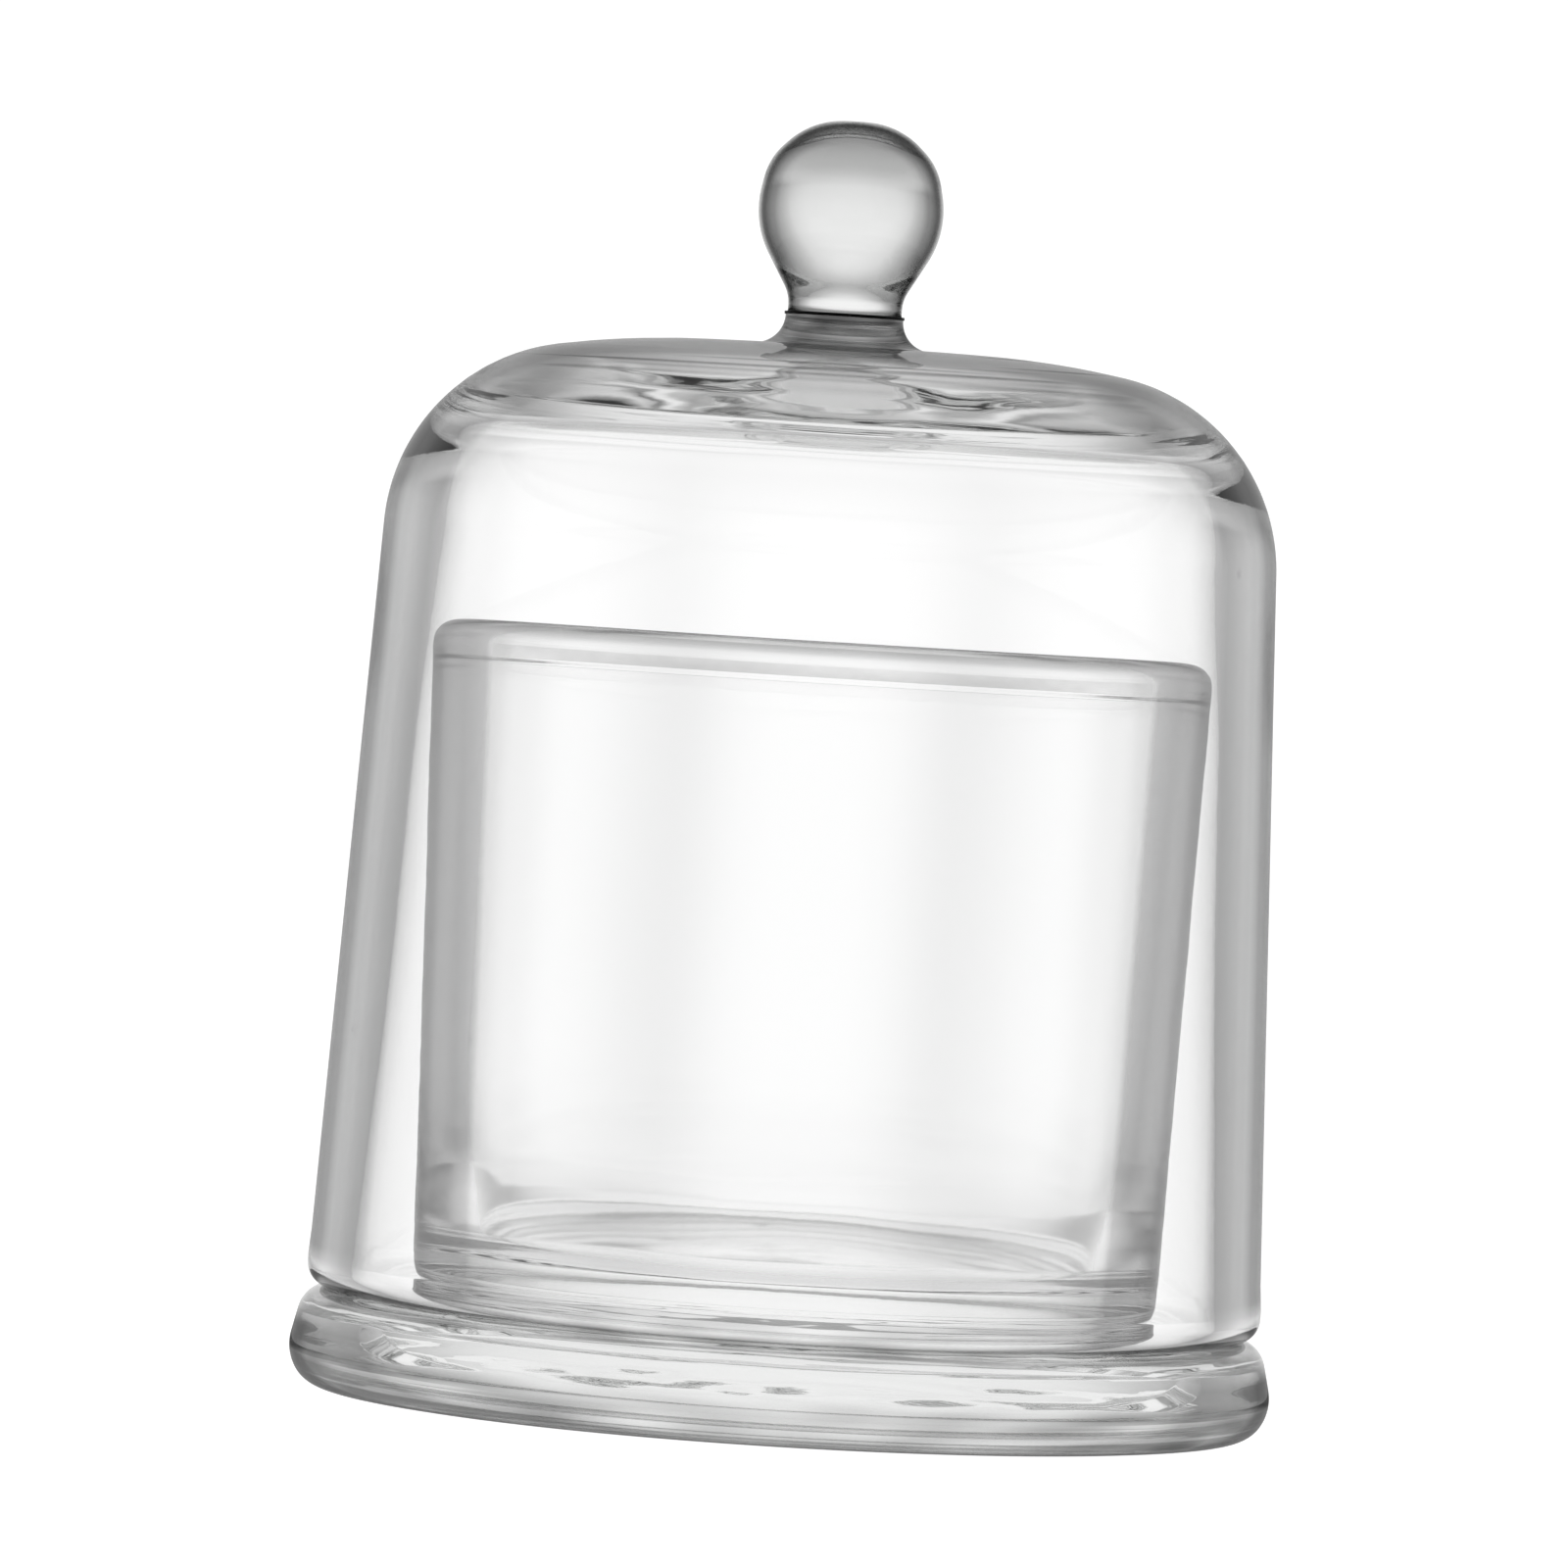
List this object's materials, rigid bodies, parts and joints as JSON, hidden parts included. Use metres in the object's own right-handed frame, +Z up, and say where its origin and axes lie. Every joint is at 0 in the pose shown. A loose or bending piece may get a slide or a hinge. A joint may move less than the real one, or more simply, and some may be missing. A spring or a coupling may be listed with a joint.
{
  "type": "bell jar dome",
  "caption": "Clear glass bell jar with a solid ball knob, standing over a thick glass cup on a round glass base with a centring platform.",
  "frame": {"origin": "on the axis, at the surface that the base stands on", "axes": "+Z up along the common axis of the base, the cup, the dome and the knob; every piece is round, so X and Y are free"},
  "size_m": [0.1, 0.1, 0.1316],
  "materials": {
    "base_glass": "polished",
    "cup_glass": "polished",
    "dome_glass": "polished",
    "knob_glass": "polished",
    "bond_film": "cured adhesive film"
  },
  "bodies": {
    "base": {"base_plate": "base_glass"},
    "cup": {"candle_cup": "cup_glass"},
    "dome": {"dome_shell": "dome_glass", "knob_bond": "bond_film", "knob": "knob_glass"}
  },
  "joints": [
    {"name": "cup_lift", "type": "slide", "parent": "base", "child": "cup", "axis": [0, 0, 1], "range_m": [0, 0.05]},
    {"name": "dome_lift", "type": "slide", "parent": "cup", "child": "dome", "axis": [0, 0, 1], "range_m": [0, 0.09]}
  ]
}
